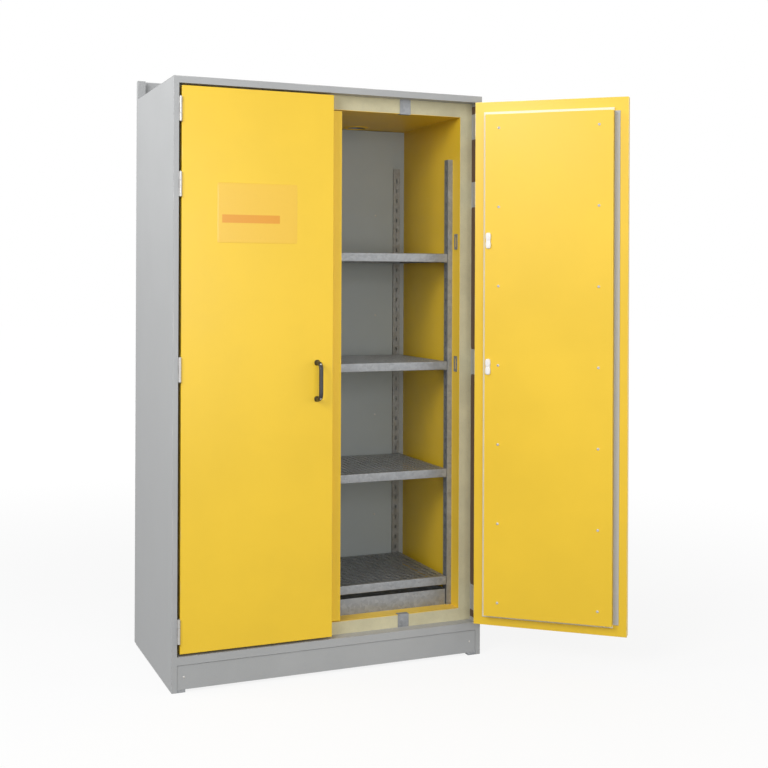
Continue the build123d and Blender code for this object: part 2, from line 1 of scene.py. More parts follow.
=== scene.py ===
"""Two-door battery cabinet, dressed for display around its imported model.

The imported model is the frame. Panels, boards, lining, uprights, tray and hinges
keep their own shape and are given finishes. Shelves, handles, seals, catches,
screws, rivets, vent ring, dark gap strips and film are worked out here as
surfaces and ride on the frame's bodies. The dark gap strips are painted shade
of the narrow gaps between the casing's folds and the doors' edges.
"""
import json
import math

import bmesh
import bpy
import numpy as np
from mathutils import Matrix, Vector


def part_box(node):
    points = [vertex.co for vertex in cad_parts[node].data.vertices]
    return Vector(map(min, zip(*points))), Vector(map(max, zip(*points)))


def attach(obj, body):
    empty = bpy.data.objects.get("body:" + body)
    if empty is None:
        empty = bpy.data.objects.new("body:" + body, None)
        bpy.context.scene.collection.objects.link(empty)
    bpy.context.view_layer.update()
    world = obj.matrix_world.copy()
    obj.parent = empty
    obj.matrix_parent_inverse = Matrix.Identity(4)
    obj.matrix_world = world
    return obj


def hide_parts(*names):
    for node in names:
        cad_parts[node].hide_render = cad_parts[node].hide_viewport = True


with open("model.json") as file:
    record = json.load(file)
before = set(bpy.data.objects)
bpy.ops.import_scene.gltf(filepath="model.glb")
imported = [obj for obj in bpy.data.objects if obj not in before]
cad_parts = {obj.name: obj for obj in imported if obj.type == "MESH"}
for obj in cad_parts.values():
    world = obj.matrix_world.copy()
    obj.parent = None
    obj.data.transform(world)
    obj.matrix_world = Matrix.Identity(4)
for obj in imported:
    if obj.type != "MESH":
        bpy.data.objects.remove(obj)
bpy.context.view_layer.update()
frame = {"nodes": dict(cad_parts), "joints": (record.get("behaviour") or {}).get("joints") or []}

bl_info = {
    "name": "Battery cabinet finishing",
    "version": (1, 0, 0),
    "blender": (4, 5, 0),
    "location": "3D View > Sidebar > Cabinet",
    "description": "Builds the finished surfaces of a two-door storage cabinet",
    "category": "Add Mesh",
}

MM = 0.001
NODES = frame["nodes"]
BODY = {"left": "left_door", "right": "right_door"}
SIDES = ("left", "right")

# Sizes of small trim and fasteners, in metres, and the counts in their rows.
RIVET_RADIUS, RIVET_RISE = 4 * MM, 1.5 * MM
DUCT_RIVET_ROWS, TOP_RIVET_COLUMNS = 4, 6
TOP_RIVET_INSET = (0.04, 0.02)
PANEL_SCREW_RADIUS, PANEL_SCREW_ROWS = 4.5 * MM, 7
HANDLE_SCREW_RADIUS, HANDLE_SCREW_RISE, HANDLE_SCREW_SINK = 3.4 * MM, 1.6 * MM, 0.6 * MM
FOOT_FLARE = 7 * MM
RING_WIDTH = 10.2 * MM
STRIP_FRONT_GAP, STRIP_BACK_GAP, STRIP_END_GAP = 3 * MM, 2 * MM, 4 * MM
FREE_LENGTH = 50 * MM
FILM_THICKNESS, FILM_FROM_HINGE, FILM_FROM_TOP = 0.35 * MM, 0.250, 0.4
BAND_CORNERS = ((-0.1195, 0, -0.033), (0.0755, 0, -0.005))
BAND_EDGE = 1.5 * MM
MERGE_WITHIN, SHORTEST_EDGE = 2e-6, 1e-6

# Tones that lie over more than one finish.
DUST = (0.5, 0.48, 0.44, 1)
ZINC_BLOOM = (0.55, 0.56, 0.57, 1)


# ------------------------------------------------------------ places on the frame


def node_points(name):
    """All corners of a frame node as one array."""
    mesh = NODES[name].data
    points = np.zeros(len(mesh.vertices) * 3)
    mesh.vertices.foreach_get("co", points)
    return points.reshape(-1, 3)


def hinge(side):
    """A door's joint: its axis in plan and its opening at rest, in radians."""
    joint = next(j for j in frame["joints"] if j["name"] == f"{side}_door_hinge")
    opening = -min(joint["range_deg"]) if side == "right" else 0
    return np.array(joint["pos_m"][:2]), math.radians(opening)


def door_axes(side):
    """Plan directions of a door, from hinge to free edge and from face to back.

    Closed, the left door reaches along +X and the right one along -X, and both
    have their backs toward +Y. Both directions turn by the opening angle.
    """
    opening = hinge(side)[1]
    turn = opening + (math.pi if side == "right" else 0)
    reach = np.array((math.cos(turn), math.sin(turn)))
    depth = np.array((-math.sin(opening), math.cos(opening)))
    return reach, depth


def on_door(side, points):
    """Door coordinates (reach, depth, height) as places in the row frame."""
    points = np.asarray(points, float)
    axis = hinge(side)[0]
    reach, depth = door_axes(side)
    plan = axis + points[..., :1] * reach + points[..., 1:2] * depth
    return np.concatenate([plan, points[..., 2:]], axis=-1)


def door_box(part, side):
    """Lowest and highest corner of a door's node, in door coordinates."""
    points = node_points(f"{part}_{side}")
    plan = points[:, :2] - hinge(side)[0]
    reach, depth = door_axes(side)
    local = np.stack([plan @ reach, plan @ depth, points[:, 2]], axis=1)
    return local.min(0), local.max(0)


def pattern_box(part, side):
    """A door node's box where its material reads its pattern.

    The left door reads its own place. On the right door the turned-back place
    measures reach along -X from the hinge.
    """
    flip, shift = (1, (*hinge(side)[0], 0.0)) if side == "left" else (-1, (0.0, 0.0, 0.0))
    corners = np.stack(door_box(part, side)) * (flip, 1, 1) + shift
    return corners.min(0), corners.max(0)


def cad(name):
    """Lowest and highest corner of a node as arrays."""
    low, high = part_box(name)
    return np.array(low), np.array(high)


# ------------------------------------------------------------ surfaces


def mesh_from(name, points, faces):
    """A mesh from whole arrays: corner numbers lie end to end and each face names its first."""
    corners = np.asarray(faces, np.int32)
    starts = np.arange(0, corners.size, corners.shape[1], dtype=np.int32)
    mesh = bpy.data.meshes.new(name)
    mesh.vertices.add(len(points))
    mesh.vertices.foreach_set("co", np.asarray(points, np.float32).ravel())
    mesh.loops.add(corners.size)
    mesh.loops.foreach_set("vertex_index", corners.ravel())
    mesh.polygons.add(len(corners))
    mesh.polygons.foreach_set("loop_start", starts)
    mesh.update(calc_edges=True)
    mesh.validate()
    return mesh


def linked(name, data):
    """An object with this data, in the scene."""
    made = bpy.data.objects.new(name, data)
    bpy.context.scene.collection.objects.link(made)
    return made


def grid_faces(rows, columns, wrap_rows=False, wrap_columns=False):
    """Quads between neighbours of a grid of points, joined round where it wraps."""
    r = np.arange(rows if wrap_rows else rows - 1)
    c = np.arange(columns if wrap_columns else columns - 1)
    r, c = np.meshgrid(r, c, indexing="ij")
    r2, c2 = (r + 1) % rows, (c + 1) % columns
    row, next_row = r * columns, r2 * columns
    quads = np.stack([row + c, row + c2, next_row + c2, next_row + c], -1)
    return quads.reshape(-1, 4)


def gather(shapes):
    """Several (points, faces) as one, with the face numbers moved on by the points before."""
    points, faces, count = [], [], 0
    for shape_points, shape_faces in shapes:
        points.append(shape_points.reshape(-1, 3))
        faces.append(shape_faces + count)
        count += len(points[-1])
    return np.concatenate(points), np.concatenate(faces)


def repeat(points, faces, offsets):
    """The same shape at each offset, as one array of points and one of faces."""
    offsets = np.asarray(offsets, float)
    moved = points[None] + offsets[:, None]
    steps = np.arange(len(offsets))[:, None, None] * len(points)
    return moved.reshape(-1, 3), (faces[None] + steps).reshape(-1, faces.shape[1])


def superellipse(angle, power):
    """Unit outline |x|^p + |y|^p = 1 at these angles, from a circle at 2 to a square above."""
    c, s = np.cos(angle), np.sin(angle)
    scale = (np.abs(c) ** power + np.abs(s) ** power) ** (-1 / power)
    return c * scale, s * scale


def turned(profile, sectors, closed=False):
    """A profile of (radius, height) turned about the height axis, its ends on it or joined."""
    profile = np.asarray(profile, float)
    angle = np.linspace(0, 2 * math.pi, sectors, endpoint=False)
    r, h = profile[:, :1], profile[:, 1:]
    points = np.stack([r * np.cos(angle), r * np.sin(angle), h + 0 * angle], -1)
    faces = grid_faces(len(profile), sectors, wrap_rows=closed, wrap_columns=True)
    return points.reshape(-1, 3), faces


def domed_pad(half_x, half_y, height, edge, outline, rings=9, sectors=32):
    """A pad z = height * (1 - r^(2/edge))^(edge/2) over a superellipse r, closed below."""
    up = np.linspace(0, math.pi / 2, rings)
    x, y = superellipse(np.linspace(0, 2 * math.pi, sectors, endpoint=False), outline)
    spread, rise = np.cos(up)[:, None] ** edge, np.sin(up)[:, None] ** edge
    spread[-1] = 0
    points = np.stack([half_x * spread * x, half_y * spread * y, height * rise + 0 * x], -1)
    base = np.zeros((1, sectors, 3))
    points = np.concatenate([base, points])
    return points.reshape(-1, 3), grid_faces(rings + 1, sectors, wrap_columns=True)


def screw_head(radius, height):
    """A washer and a domed head that falls as an ellipse, less a cross-shaped recess.

    The recess is a trough along both diameters that ends inside the head's rim.
    """
    sectors = 24
    washer_edge, washer_rise, head_foot, head_share = 0.3, 0.42, 0.74, 0.75
    recess_half_width, recess_reach, recess_depth = 0.13, 0.5, 0.4
    washer = [(0, 0), (radius, 0), (radius, washer_edge * height),
              (0.8 * radius, washer_rise * height)]
    across = np.linspace(head_foot * radius, 0, 9)
    fall = np.sqrt(1 - (across / (head_share * radius)) ** 2 * 0.98)
    dome = height * (washer_rise + (1 - washer_rise) * fall)
    profile = np.concatenate([washer, np.stack([across, dome], 1)])
    points, faces = turned(profile, sectors)
    x, y = points[:, 0], points[:, 1]
    nearest = np.minimum(np.abs(x), np.abs(y))
    inside = np.hypot(x, y) < recess_reach * radius
    trough = np.exp(-((nearest / (recess_half_width * radius)) ** 4)) * inside
    on_head = np.arange(len(points)) >= len(washer) * sectors
    points[:, 2] -= recess_depth * height * trough * on_head
    return points, faces


def stand_on_door(points, place):
    """Points whose +Z leaves the back of a door, moved to a place in door coordinates."""
    place = np.asarray(place, float)
    return place + np.stack([points[:, 0], points[:, 2], points[:, 1]], axis=1)


def rounded_path(corners, radius, steps):
    """Straight runs joined by arcs that touch both, with tangents of r / tan(half angle)."""
    corners = np.asarray(corners, float)
    parts = [corners[:1]]
    for before, corner, after in zip(corners[:-2], corners[1:-1], corners[2:]):
        a, b = before - corner, after - corner
        a, b = a / np.linalg.norm(a), b / np.linalg.norm(b)
        half = math.acos(float(a @ b)) / 2
        middle = corner + (a + b) / np.linalg.norm(a + b) * radius / math.sin(half)
        start = corner + a * radius / math.tan(half) - middle
        end = corner + b * radius / math.tan(half) - middle
        t = np.linspace(0, 1, steps)[:, None]
        sweep = math.pi - 2 * half
        arc = (np.sin((1 - t) * sweep) * start + np.sin(t * sweep) * end) / math.sin(sweep)
        parts.append(middle + arc)
    parts.append(corners[-1:])
    return np.concatenate(parts)


def carried(path, side, normal, across, along):
    """A closed outline (across, along) carried down a path, with both ends drawn to a point."""
    across, along = across[..., None], along[..., None]
    points = path[:, None] + across * side[:, None] + along * normal[:, None]
    count = points.shape[1]
    start, end = (np.repeat(tip[:, None], count, 1) for tip in (path[:1], path[-1:]))
    points = np.concatenate([start, points, end])
    return points.reshape(-1, 3), grid_faces(len(path) + 2, count, wrap_columns=True)


def boxed_profile(low, high, profile):
    """A closed profile of (inset, height) run round a rectangle with mitred corners."""
    inset, rise = np.asarray(profile, float).T
    points = np.zeros((len(inset), 4, 3))
    for axis, near, far in ((0, (0, 3), (1, 2)), (1, (0, 1), (2, 3))):
        points[:, near, axis] = (low[axis] + inset)[:, None]
        points[:, far, axis] = (high[axis] - inset)[:, None]
    points[:, :, 2] = rise[:, None]
    return points.reshape(-1, 3), grid_faces(len(inset), 4, wrap_rows=True, wrap_columns=True)


def pierced_sheet(low, high, thickness, pitch, opening):
    """A sheet tiled with equal cells, each with a rounded hole, closed through its thickness.

    Eight points round a cell's edge, at its corners and middles, are joined to
    eight on a superellipse at the same angles, above, below and down the hole.
    """
    hole_power = 3.0
    size = high[:2] - low[:2]
    count = np.maximum(1, np.round(size / pitch)).astype(int)
    cell = size / count
    edge = np.array([(-1, -1), (0, -1), (1, -1), (1, 0), (1, 1), (0, 1), (-1, 1), (-1, 0)]) / 2
    x, y = superellipse(np.arctan2(edge[:, 1], edge[:, 0]), hole_power)
    hole = np.stack([x, y], 1) * opening / 2
    ring = edge * cell
    top, base = high[2], high[2] - thickness
    rings = [(ring, base), (ring, top), (hole, top), (hole, base)]
    points = np.concatenate([np.c_[flat, np.full(8, z)] for flat, z in rings])
    faces = grid_faces(4, 8, wrap_rows=True, wrap_columns=True)[8:]
    centre = [low[i] + cell[i] * (np.arange(count[i]) + 0.5) for i in range(2)]
    spots = np.stack(np.meshgrid(*centre, indexing="ij"), -1).reshape(-1, 2)
    return repeat(points, faces, np.c_[spots, np.zeros(len(spots))])


def finished(name, shapes, body, material, replaces=(), sharp=40):
    """A piece on its body: corners merged, faces turned outwards, smooth up to an edge angle."""
    mesh = mesh_from(name, *gather(shapes))
    work = bmesh.new()
    work.from_mesh(mesh)
    bmesh.ops.remove_doubles(work, verts=work.verts, dist=MERGE_WITHIN)
    bmesh.ops.dissolve_degenerate(work, edges=work.edges, dist=SHORTEST_EDGE)
    bmesh.ops.recalc_face_normals(work, faces=work.faces)
    work.to_mesh(mesh)
    work.free()
    mesh.shade_smooth()
    mesh.set_sharp_from_angle(angle=math.radians(sharp))
    mesh.materials.append(material)
    piece = linked(name, mesh)
    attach(piece, body)
    if replaces:
        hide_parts(*replaces)


def door_finished(name, side, shapes, material, replaces=(), sharp=40):
    """A piece in door coordinates on its door. The side ends its name and its nodes' names."""
    points, faces = gather(shapes)
    nodes = [f"{node}_{side}" for node in replaces]
    shapes = [(on_door(side, points), faces)]
    finished(f"{name}_{side}", shapes, BODY[side], material, nodes, sharp)


def dress(material, *names):
    """Frame nodes keep their shape and take this material."""
    for name in names:
        slots = NODES[name].data.materials
        slots.clear()
        slots.append(material)


# ------------------------------------------------------------ shader building blocks


def put(tree, kind, inputs=(), **settings):
    """A shader node with its settings, and its inputs linked or given a value."""
    made = tree.nodes.new(kind)
    for key, value in settings.items():
        setattr(made, key, value)
    for key, value in dict(inputs).items():
        if isinstance(value, bpy.types.NodeSocket):
            tree.links.new(value, made.inputs[key])
        else:
            made.inputs[key].default_value = value
    return made


def maths(tree, operation, *values, clamp=False):
    """One Math node; its inputs are sockets or numbers."""
    inputs = dict(enumerate(values))
    return put(tree, "ShaderNodeMath", inputs, operation=operation, use_clamp=clamp).outputs[0]


def times(tree, a, b):
    """The product of two sockets or numbers."""
    return maths(tree, "MULTIPLY", a, b)


def vectors(tree, operation, *values):
    """The vector that one Vector Math node gives."""
    inputs = dict(enumerate(values))
    return put(tree, "ShaderNodeVectorMath", inputs, operation=operation).outputs[0]


def mixed(tree, factor, a, b):
    """A colour between a and b, by the Mix node's colour sockets."""
    return put(tree, "ShaderNodeMix", {0: factor, 6: a, 7: b}, data_type="RGBA").outputs[2]


def ranged(tree, value, *bounds):
    """A value taken smoothly from one range to another."""
    keys = ("Value", "From Min", "From Max", "To Min", "To Max")
    inputs = dict(zip(keys, (value, *bounds)))
    return put(tree, "ShaderNodeMapRange", inputs, interpolation_type="SMOOTHSTEP").outputs[0]


def noise(tree, vector, scale, detail, roughness=0.5):
    """Soft fractal noise about one half."""
    inputs = {"Vector": vector, "Scale": scale, "Detail": detail, "Roughness": roughness}
    return put(tree, "ShaderNodeTexNoise", inputs).outputs[0]


def toned(colour, factor=1.0):
    """A colour made lighter or darker, with its alpha."""
    return (*(min(1.0, c * factor) for c in colour), 1)


def shader_group(name, build, **inputs):
    """A node group made once. It reads a Vector and these inputs, and gives what build returns.

    Inputs are named with _ for a space. One without a default is a vector.
    """
    tree = bpy.data.node_groups.get(name)
    if tree:
        return tree
    tree = bpy.data.node_groups.new(name, "ShaderNodeTree")
    add = tree.interface.new_socket
    for label, default in {"Vector": None, **inputs}.items():
        kind = "NodeSocketVector" if default is None else "NodeSocketFloat"
        socket = add(label.replace("_", " "), in_out="INPUT", socket_type=kind)
        if default is not None:
            socket.default_value = default
    results = build(tree, put(tree, "NodeGroupInput").outputs)
    for label in results:
        add(label, in_out="OUTPUT", socket_type="NodeSocketFloat")
    put(tree, "NodeGroupOutput", results)
    return tree


def grouped(tree, group, **inputs):
    """A group placed in a material, its inputs named with _ for a space."""
    named = {key.replace("_", " "): value for key, value in inputs.items()}
    return put(tree, "ShaderNodeGroup", named, node_tree=group).outputs


def orange_peel():
    """The fine ripple of baked powder and the faint drift of its tone over a panel."""

    def build(tree, given):
        ripple = noise(tree, given["Vector"], given["Ripple Scale"], 2.0)
        grit = noise(tree, given["Vector"], times(tree, given["Ripple Scale"], 4.5), 1.0)
        drift = noise(tree, given["Vector"], given["Drift Scale"], 4.0, 0.6)
        height = maths(tree, "ADD", ripple, times(tree, grit, 0.25))
        return {"Height": height, "Tone": ranged(tree, drift, 0.3, 0.7, 0.0, 1.0)}

    return shader_group("Orange Peel", build, Ripple_Scale=420.0, Drift_Scale=2.2)


def edge_wear():
    """Where a boxed form is rubbed: the second smallest depth below its faces is small."""

    def build(tree, given):
        away = vectors(tree, "SUBTRACT", given["Vector"], given["Centre"])
        depth = vectors(tree, "SUBTRACT", given["Half Size"], vectors(tree, "ABSOLUTE", away))
        x, y, z = put(tree, "ShaderNodeSeparateXYZ", {0: depth}).outputs
        small, large = maths(tree, "MINIMUM", x, y), maths(tree, "MAXIMUM", x, y)
        second = maths(tree, "MAXIMUM", small, maths(tree, "MINIMUM", large, z))
        ragged = noise(tree, given["Vector"], 55.0, 5.0, 0.65)
        patches = ranged(tree, noise(tree, given["Vector"], 7.0, 2.0), 0.42, 0.68, 0.0, 1.0)
        limit = times(tree, times(tree, ragged, patches), given["Width"])
        near = maths(tree, "DIVIDE", maths(tree, "SUBTRACT", limit, second), given["Width"])
        return {"Mask": ranged(tree, near, 0.0, 0.16, 0.0, given["Amount"])}

    return shader_group("Edge Wear", build, Centre=None, Half_Size=None, Width=0.004, Amount=0.6)


def settled_dust():
    """Dust on faces that look up, thicker in soft patches."""

    def build(tree, given):
        normal = put(tree, "ShaderNodeNewGeometry").outputs["Normal"]
        up = put(tree, "ShaderNodeSeparateXYZ", {0: normal}).outputs[2]
        lying = ranged(tree, up, 0.55, 0.95, 0.0, 1.0)
        cloud = noise(tree, given["Vector"], 14.0, 6.0, 0.6)
        patches = ranged(tree, cloud, 0.3, 0.7, 0.35, 1.0)
        return {"Mask": times(tree, times(tree, lying, patches), given["Amount"])}

    return shader_group("Settled Dust", build, Amount=0.2)


def zinc_spangle():
    """A galvanised coat's crystals, each with its tone and gloss, and fine rolling streaks."""

    def build(tree, given):
        bent = {0: noise(tree, given["Vector"], 40.0, 2.0), "Scale": 0.012}
        shift = put(tree, "ShaderNodeVectorMath", bent, operation="SCALE").outputs[0]
        place = vectors(tree, "ADD", given["Vector"], shift)
        spread = {"Vector": place, "Scale": given["Cell Scale"]}
        cells = put(tree, "ShaderNodeTexVoronoi", spread).outputs["Color"]
        red, green, _ = put(tree, "ShaderNodeSeparateColor", {0: cells}).outputs
        drawn = {"Vector": given["Vector"], "Scale": (6.0, 90.0, 90.0)}
        streak = noise(tree, put(tree, "ShaderNodeMapping", drawn).outputs[0], 6.0, 3.0)
        tone = maths(tree, "ADD", times(tree, red, 0.7), times(tree, streak, 0.3))
        return {"Tone": tone, "Gloss": green, "Height": streak}

    return shader_group("Zinc Spangle", build, Cell_Scale=90.0)


def board_grain():
    """The chalky cut face of a fibre board: soft tone, short fibres and open pits."""

    def build(tree, given):
        tone = noise(tree, given["Vector"], 9.0, 6.0, 0.62)
        fibre = noise(tree, given["Vector"], 210.0, 4.0, 0.7)
        pits = put(tree, "ShaderNodeTexVoronoi", {"Vector": given["Vector"], "Scale": 170.0})
        hollow = ranged(tree, pits.outputs["Distance"], 0.05, 0.28, 1.0, 0.0)
        height = maths(tree, "SUBTRACT", fibre, times(tree, hollow, 0.8))
        return {"Tone": tone, "Height": height, "Pits": hollow}

    return shader_group("Board Grain", build)


def moulded_grain():
    """The fine spark-eroded grain of a moulded part and the dull scuffs of handling."""

    def build(tree, given):
        grain = noise(tree, given["Vector"], given["Grain Scale"], 2.0, 0.6)
        rubbed = noise(tree, given["Vector"], 60.0, 5.0, 0.7)
        return {"Height": grain, "Scuff": ranged(tree, rubbed, 0.52, 0.72, 0.0, 1.0)}

    return shader_group("Moulded Grain", build, Grain_Scale=1500.0)


def empty_tree(owner):
    """The node tree of a material or a world, without the nodes that it starts with."""
    owner.use_nodes = True
    owner.node_tree.nodes.clear()
    return owner.node_tree


def start_material(name, side=None):
    """A new material, its tree, the place its pattern reads, and its shader.

    The place is the object's own. On the right door it is turned back by the
    opening about the hinge axis, so a pattern lies along the panel on both doors.
    """
    material = bpy.data.materials.new(name)
    tree = empty_tree(material)
    place = put(tree, "ShaderNodeTexCoord").outputs["Object"]
    if side == "right":
        axis, opening = hinge(side)
        turn = {"Vector": place, "Location": (*axis, 0.0), "Rotation": (0.0, 0.0, opening)}
        place = put(tree, "ShaderNodeMapping", turn, vector_type="TEXTURE").outputs[0]
    shader = put(tree, "ShaderNodeBsdfPrincipled")
    put(tree, "ShaderNodeOutputMaterial", {"Surface": shader.outputs[0]})
    return material, tree, place, shader


def surfaced(tree, shader, height, distance, strength, **inputs):
    """A bump for the shader's normal, and sockets for its inputs, named with _ for a space."""
    relief = {"Height": height, "Distance": distance, "Strength": strength}
    inputs["Normal"] = put(tree, "ShaderNodeBump", relief).outputs[0]
    for key, value in inputs.items():
        tree.links.new(value, shader.inputs[key.replace("_", " ")])


def powder_coat(name, colour, roughness, box, side=None, wear=0.5, dust=0.12, drift=0.05,
                bare=(0.42, 0.42, 0.41)):
    """Baked powder paint over steel: orange peel, drifting tone, rubbed edges and some dust."""
    material, tree, place, shader = start_material(name, side)
    low, high = box
    sizes = {"Centre": tuple((low + high) / 2), "Half_Size": tuple((high - low) / 2)}
    peel = grouped(tree, orange_peel(), Vector=place)
    rubbed = grouped(tree, edge_wear(), Vector=place, Amount=wear, **sizes)["Mask"]
    lying = grouped(tree, settled_dust(), Vector=place, Amount=dust)["Mask"]
    paint = mixed(tree, peel["Tone"], toned(colour, 1 - drift), toned(colour, 1 + drift))
    worn = mixed(tree, rubbed, paint, toned(bare))
    gloss = maths(tree, "ADD", roughness, times(tree, peel["Tone"], 0.06))
    gloss = maths(tree, "ADD", gloss, times(tree, lying, 0.8), clamp=True)
    surfaced(tree, shader, peel["Height"], 0.0002, 0.35, Roughness=gloss,
             Base_Color=mixed(tree, lying, worn, DUST), Metallic=times(tree, rubbed, 0.8))
    return material


def galvanised(name, colour, cell_scale=90.0, dust=0.1, spread=0.16):
    """Zinc-coated sheet: spangle, rolling streaks, a dull white bloom and a little dust."""
    material, tree, place, shader = start_material(name)
    crystal = grouped(tree, zinc_spangle(), Vector=place, Cell_Scale=cell_scale)
    lying = grouped(tree, settled_dust(), Vector=place, Amount=dust)["Mask"]
    zinc = mixed(tree, crystal["Tone"], toned(colour, 1 - spread), toned(colour, 1 + spread))
    bloom = ranged(tree, noise(tree, place, 18.0, 5.0, 0.6), 0.5, 0.75, 0.0, 0.14)
    zinc = mixed(tree, bloom, zinc, ZINC_BLOOM)
    metal = maths(tree, "SUBTRACT", 0.6, maths(tree, "ADD", bloom, lying), clamp=True)
    surfaced(tree, shader, crystal["Height"], 0.0001, 0.25, Metallic=metal,
             Base_Color=mixed(tree, lying, zinc, DUST),
             Roughness=ranged(tree, crystal["Gloss"], 0.0, 1.0, 0.34, 0.52))
    return material


def fibre_board(name, colour):
    """Bare fire-resistant board: chalky, fibrous and pitted, with painted shade in its pits and
    no gloss.
    """
    material, tree, place, shader = start_material(name)
    grain = grouped(tree, board_grain(), Vector=place)
    drift = ranged(tree, grain["Tone"], 0.3, 0.7, 0.0, 1.0)
    tone = mixed(tree, drift, toned(colour, 0.9), toned(colour, 1.08))
    # The pits are darkened towards 0.45 of the board's colour: painted shade in the hollows.
    pit_shaded_tone = mixed(tree, times(tree, grain["Pits"], 0.25), tone, toned(colour, 0.45))
    surfaced(tree, shader, grain["Height"], 0.0005, 0.5, Base_Color=pit_shaded_tone,
             Roughness=ranged(tree, grain["Tone"], 0.3, 0.7, 0.82, 0.95))
    return material


def moulded(name, colour, roughness, grain_scale, scuffs, scuff_colour):
    """Moulded plastic or rubber: fine grain, a slightly uneven gloss and faint scuffs."""
    material, tree, place, shader = start_material(name)
    grain = grouped(tree, moulded_grain(), Vector=place, Grain_Scale=grain_scale)
    scuff = times(tree, grain["Scuff"], scuffs)
    surfaced(tree, shader, grain["Height"], 0.00008, 0.3,
             Base_Color=mixed(tree, scuff, toned(colour), toned(scuff_colour)),
             Roughness=maths(tree, "ADD", roughness, times(tree, grain["Scuff"], 0.15)))
    return material


def banded_film(name, base, band, low, high):
    """A blank self-adhesive film with one plain coloured band between two corners."""
    material, tree, place, shader = start_material(name)
    x, _, z = put(tree, "ShaderNodeSeparateXYZ", {0: place}).outputs
    inside = 1.0
    for value, near, far in ((x, low[0], high[0]), (z, low[2], high[2])):
        inside = times(tree, inside, ranged(tree, value, near, near + BAND_EDGE, 0.0, 1.0))
        inside = times(tree, inside, ranged(tree, value, far - BAND_EDGE, far, 1.0, 0.0))
    grain = grouped(tree, moulded_grain(), Vector=place, Grain_Scale=900.0)
    plain = mixed(tree, times(tree, grain["Scuff"], 0.12), toned(base), toned(base, 0.85))
    surfaced(tree, shader, grain["Height"], 0.00005, 0.2,
             Base_Color=mixed(tree, inside, plain, toned(band)),
             Roughness=ranged(tree, grain["Scuff"], 0.0, 1.0, 0.3, 0.42))
    return material


# ------------------------------------------------------------ what a user may change


def colour_of(name, text, default):
    """A colour setting."""
    return bpy.props.FloatVectorProperty(
        name=name, description=text, subtype="COLOR", default=default, min=0, max=1)


def length_of(name, text, default):
    """A length setting, in metres."""
    return bpy.props.FloatProperty(
        name=name, description=text, default=default, min=0, unit="LENGTH")


def power_of(name, text, default):
    """A lamp's power, in watts."""
    return bpy.props.FloatProperty(
        name=name, description=text, unit="POWER", default=default, min=0)


class CabinetFinish(bpy.types.PropertyGroup):
    """Colours of the cabinet's finishes."""

    yellow: colour_of("Yellow coat", "Coat of the doors and the lining", (0.82, 0.54, 0.026))
    casing: colour_of("Casing coat", "Silver-grey coat of the casing", (0.37, 0.378, 0.382))
    lining: colour_of("Grey lining", "Coat of the back sheet and the duct", (0.35, 0.39, 0.405))
    zinc: colour_of("Zinc", "Galvanised shelves, uprights and straps", (0.27, 0.28, 0.292))
    fastener: colour_of("Fasteners", "Zinc-plated screws, pins and rivets", (0.47, 0.46, 0.44))
    board: colour_of("Fire board", "Cut edge of the insulation boards", (0.56, 0.52, 0.345))
    seal: colour_of("Seal", "Soft seal round the inner boxes", (0.86, 0.82, 0.66))
    strip: colour_of("Strip", "Swelling strip on the right door's rim", (0.44, 0.45, 0.46))
    white: colour_of("White plastic", "Catches on the inner boxes", (0.83, 0.82, 0.80))
    black: colour_of("Black plastic", "Bow handles", (0.018, 0.018, 0.02))
    # The frame strip colour is painted shade: a dark strip stands in for the shade in the narrow
    # gaps beside the hinges.
    frame_strip_gap_shade: colour_of("Frame strip", "Swelling strip on the folds", (0.105, 0.062, 0.038))
    film: colour_of("Film", "Blank film on the left door", (0.80, 0.50, 0.045))
    band: colour_of("Band", "Plain band on the film", (0.72, 0.31, 0.02))


class CabinetDetail(bpy.types.PropertyGroup):
    """Sizes of the details that the finished surfaces add."""

    deck_pitch: length_of("Deck pitch", "Distance between a deck's openings", 0.021)
    deck_opening: length_of("Deck opening", "Width of one opening", 0.0155)
    deck_margin: length_of("Deck margin", "Plain border round the openings", 0.014)
    deck_sheet: length_of("Shelf sheet", "Thickness of the shelf's sheet", 0.0012)
    shelf_bend: length_of("Shelf bend", "Outer radius of the shelf's folded edges", 0.0025)
    shelf_hem: length_of("Shelf hem", "Width of the hem under the lip", 0.009)
    grip_width: length_of("Grip width", "Width of the bow handle's grip", 0.014)
    grip_thickness: length_of("Grip thickness", "Thickness of the handle's grip", 0.010)
    grip_bend: length_of("Grip bend", "Radius of the bow's middle line", 0.022)
    grip_foot: length_of("Grip foot", "Width of the bow's feet on the door", 0.020)
    catch_length: length_of("Catch length", "Length of one catch", 0.055)
    strip_sheet: length_of("Strip thickness", "Thickness of the folds' strip", 0.0008)
    film_width: length_of("Film width", "Width of the blank film", 0.269)
    film_height: length_of("Film height", "Height of the blank film", 0.194)


class CabinetStage(bpy.types.PropertyGroup):
    """Camera and light of the stage."""

    camera_place: bpy.props.FloatVectorProperty(
        name="Camera place", description="Where the camera stands", subtype="TRANSLATION",
        unit="LENGTH", default=(-0.8897, -3.7893, 1.307))
    camera_turn: bpy.props.FloatProperty(
        name="Camera turn", description="Turn to the right of straight ahead", subtype="ANGLE",
        unit="ROTATION", default=math.radians(22.85))
    camera_roll: bpy.props.FloatProperty(
        name="Camera roll", description="Lean of the camera", subtype="ANGLE", unit="ROTATION",
        default=0.004)
    lens: bpy.props.FloatProperty(
        name="Lens", description="Focal length in millimetres", default=56.67, min=1)
    rise: bpy.props.FloatProperty(name="Rise", description="Shift of the lens", default=-0.1354)
    surround: bpy.props.FloatProperty(
        name="Surround", description="Light from all round", default=0.5, min=0)
    key: power_of("Key", "Power of the large lamp on the left", 94)
    front: power_of("Front", "Power of the lamp before the doorway", 46)
    fill: power_of("Fill", "Power of the lamp on the right", 30)
    top: power_of("Top", "Power of the lamp above", 26)


# ------------------------------------------------------------ operators


